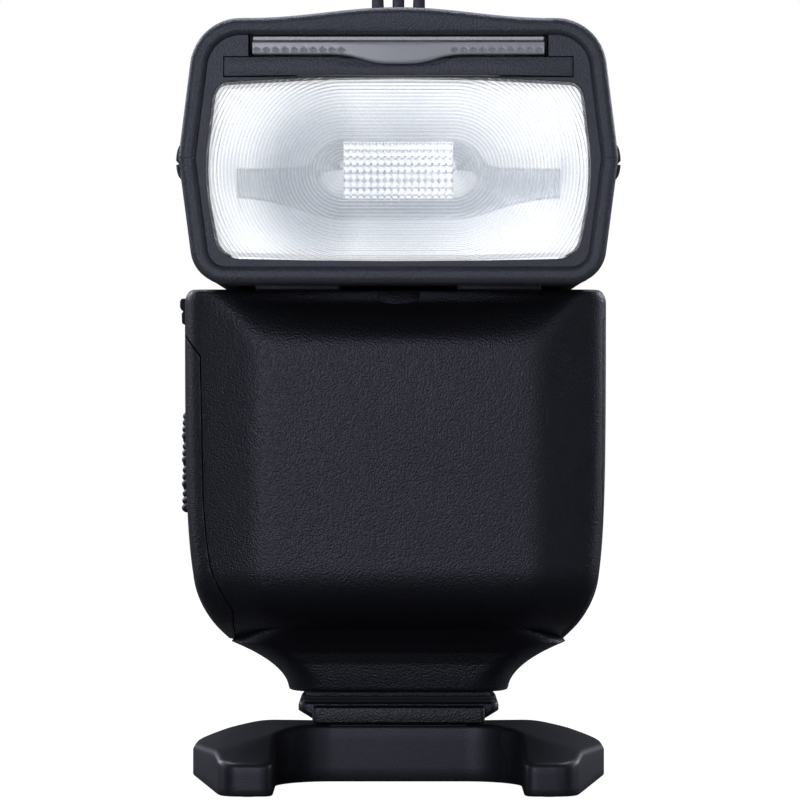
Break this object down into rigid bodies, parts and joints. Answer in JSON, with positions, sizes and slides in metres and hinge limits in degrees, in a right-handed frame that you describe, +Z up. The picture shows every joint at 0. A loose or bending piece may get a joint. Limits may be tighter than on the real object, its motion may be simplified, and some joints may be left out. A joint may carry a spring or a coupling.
{
  "type": "speedlight flash",
  "caption": "Camera flash on a low U-shaped stand: zooming Fresnel head that tilts and swivels, battery body with rear controls, locking shoe foot.",
  "frame": {"origin": "mouth of the stand's tripod socket, on the plane of the stand's underside, under the swivel axis", "axes": "+Z up along the swivel axis, -Y the way the light leaves at rest, +X to the right of a viewer who faces the lens"},
  "size_m": [0.0781, 0.1035, 0.1384],
  "materials": {
    "stand_plastic": "satin moulded plastic",
    "brass": "machined",
    "rubber": "moulded rubber",
    "grip_rubber": "coarse stippled rubber",
    "foot_metal": "satin",
    "steel": "bright steel",
    "contact_gold": "gold plated",
    "body_plastic": "fine leather grain",
    "dark_plastic": "satin",
    "button_plastic": "satin",
    "head_plastic": "fine stipple",
    "cell_jacket": "plain printed sleeve",
    "capacitor_sleeve": "shrink sleeve",
    "board_green": "circuit board",
    "window_clear": "clear window",
    "display_face": "unlit display",
    "lens_clear": "moulded Fresnel",
    "panel_clear": "prismatic panel",
    "card_white": "matt white",
    "reflector_metal": "polished",
    "tube_glass": "clear quartz"
  },
  "bodies": {
    "stand": {"stand_base": "stand_plastic", "tripod_bush": "brass", "stand_pads": "rubber"},
    "body": {"shoe_foot": "foot_metal", "shoe_contacts": "contact_gold", "foot_housing": "body_plastic", "foot_seal": "rubber", "foot_screws": "steel", "lower_skirt": "body_plastic", "front_cover": "body_plastic", "rear_cover": "body_plastic", "side_grip": "grip_rubber", "battery_box": "dark_plastic", "battery_cells": "cell_jacket", "end_contacts": "contact_gold", "main_capacitor": "capacitor_sleeve", "main_board": "board_green", "key_board": "board_green", "display_bezel": "dark_plastic", "display_window": "window_clear", "display_panel": "display_face", "sync_socket": "steel", "case_screws": "steel", "swivel_bearing": "steel"},
    "lock_lever": {"lock_lever": "dark_plastic"},
    "lock_pin": {"lock_pin": "steel"},
    "door_leaf": {"door_hinge_leaf": "steel", "door_hinge_pin": "steel"},
    "door": {"battery_door": "body_plastic", "door_contacts": "contact_gold"},
    "dial": {"select_dial": "dark_plastic"},
    "set_button": {"set_button": "button_plastic"},
    "soft_key_1": {"soft_key_1": "rubber"},
    "soft_key_2": {"soft_key_2": "rubber"},
    "soft_key_3": {"soft_key_3": "rubber"},
    "soft_key_4": {"soft_key_4": "rubber"},
    "menu_button": {"menu_button": "button_plastic"},
    "mode_button": {"mode_button": "button_plastic"},
    "test_button": {"test_button": "button_plastic"},
    "power_switch": {"power_switch": "button_plastic"},
    "terminal_cover": {"terminal_cover": "rubber"},
    "turret": {"turret": "body_plastic", "swivel_clip": "steel"},
    "head": {"tilt_axle": "steel", "upper_shell": "head_plastic", "lower_shell": "head_plastic", "front_bezel": "head_plastic", "fresnel_lens": "lens_clear", "slot_cover": "dark_plastic", "guide_rod": "steel", "zoom_motor": "steel", "adapter_catches": "dark_plastic", "top_ribs": "dark_plastic"},
    "tilt_button": {"tilt_button": "button_plastic"},
    "wide_panel": {"wide_panel": "panel_clear"},
    "bounce_card": {"bounce_card": "card_white"},
    "zoom": {"zoom_carriage": "dark_plastic", "reflector": "reflector_metal", "flash_tube": "tube_glass"},
    "lead_screw": {"lead_screw": "steel"}
  },
  "joints": [
    {"name": "foot_slide", "type": "slide", "parent": "stand", "child": "body", "axis": [0, 1, 0], "range_m": [0, 0.04]},
    {"name": "lock_lever_turn", "type": "hinge", "parent": "body", "child": "lock_lever", "pos_m": [0, 0, 0.013], "axis": [0, 0, -1], "range_deg": [0, 60]},
    {"name": "lock_pin_drop", "type": "slide", "parent": "body", "child": "lock_pin", "axis": [0, 0, -1], "range_m": [0, 0.00195]},
    {"name": "door_slide", "type": "slide", "parent": "body", "child": "door_leaf", "axis": [0, 0, -1], "range_m": [0, 0.003]},
    {"name": "door_hinge", "type": "hinge", "parent": "door_leaf", "child": "door", "pos_m": [-0.0379, 0.014, 0.055], "axis": [0, 0, -1], "range_deg": [0, 100]},
    {"name": "terminal_flap", "type": "hinge", "parent": "body", "child": "terminal_cover", "pos_m": [-0.0392, -0.009, 0.0852], "axis": [0, 0, -1], "range_deg": [0, 100]},
    {"name": "head_swivel", "type": "hinge", "parent": "body", "child": "turret", "pos_m": [0, 0, 0.0869], "axis": [0, 0, 1], "range_deg": [-180, 180]},
    {"name": "head_tilt", "type": "hinge", "parent": "turret", "child": "head", "pos_m": [0, 0.018, 0.109], "axis": [-1, 0, 0], "range_deg": [0, 90]},
    {"name": "tilt_release", "type": "slide", "parent": "head", "child": "tilt_button", "axis": [-1, 0, 0], "range_m": [0, 0.0012], "stiffness_N_per_m": 400},
    {"name": "wide_panel_slide", "type": "slide", "parent": "head", "child": "wide_panel", "axis": [0, -1, 0], "range_m": [0, 0.036]},
    {"name": "bounce_card_slide", "type": "slide", "parent": "head", "child": "bounce_card", "axis": [0, -1, 0], "range_m": [0, 0.038]},
    {"name": "zoom_slide", "type": "slide", "parent": "head", "child": "zoom", "axis": [0, 1, 0], "range_m": [0, 0.016]},
    {"name": "lead_screw_spin", "type": "hinge", "parent": "head", "child": "lead_screw", "pos_m": [0.028, -0.03, 0.099], "axis": [0, 1, 0], "range_deg": [0, 361]},
    {"name": "dial_turn", "type": "hinge", "parent": "body", "child": "dial", "pos_m": [0, 0.0324, 0.0422], "axis": [0, 1, 0], "continuous": true},
    {"name": "set_button_press", "type": "slide", "parent": "body", "child": "set_button", "axis": [0, -1, 0], "range_m": [0, 0.0008], "stiffness_N_per_m": 300},
    {"name": "soft_key_1_press", "type": "slide", "parent": "body", "child": "soft_key_1", "axis": [0, -1, 0], "range_m": [0, 0.0008], "stiffness_N_per_m": 300},
    {"name": "soft_key_2_press", "type": "slide", "parent": "body", "child": "soft_key_2", "axis": [0, -1, 0], "range_m": [0, 0.0008], "stiffness_N_per_m": 300},
    {"name": "soft_key_3_press", "type": "slide", "parent": "body", "child": "soft_key_3", "axis": [0, -1, 0], "range_m": [0, 0.0008], "stiffness_N_per_m": 300},
    {"name": "soft_key_4_press", "type": "slide", "parent": "body", "child": "soft_key_4", "axis": [0, -1, 0], "range_m": [0, 0.0008], "stiffness_N_per_m": 300},
    {"name": "menu_button_press", "type": "slide", "parent": "body", "child": "menu_button", "axis": [0, -1, 0], "range_m": [0, 0.0008], "stiffness_N_per_m": 300},
    {"name": "mode_button_press", "type": "slide", "parent": "body", "child": "mode_button", "axis": [0, -1, 0], "range_m": [0, 0.0008], "stiffness_N_per_m": 300},
    {"name": "test_button_press", "type": "slide", "parent": "body", "child": "test_button", "axis": [0, -1, 0], "range_m": [0, 0.0008], "stiffness_N_per_m": 300},
    {"name": "power_slide", "type": "slide", "parent": "body", "child": "power_switch", "axis": [1, 0, 0], "range_m": [0, 0.005]}
  ],
  "couplings": [
    {"joint": "lock_pin_drop", "follows": "lock_lever_turn", "m_per_rad": 0.0018143},
    {"joint": "lead_screw_spin", "follows": "zoom_slide", "rad_per_m": 392.7}
  ]
}
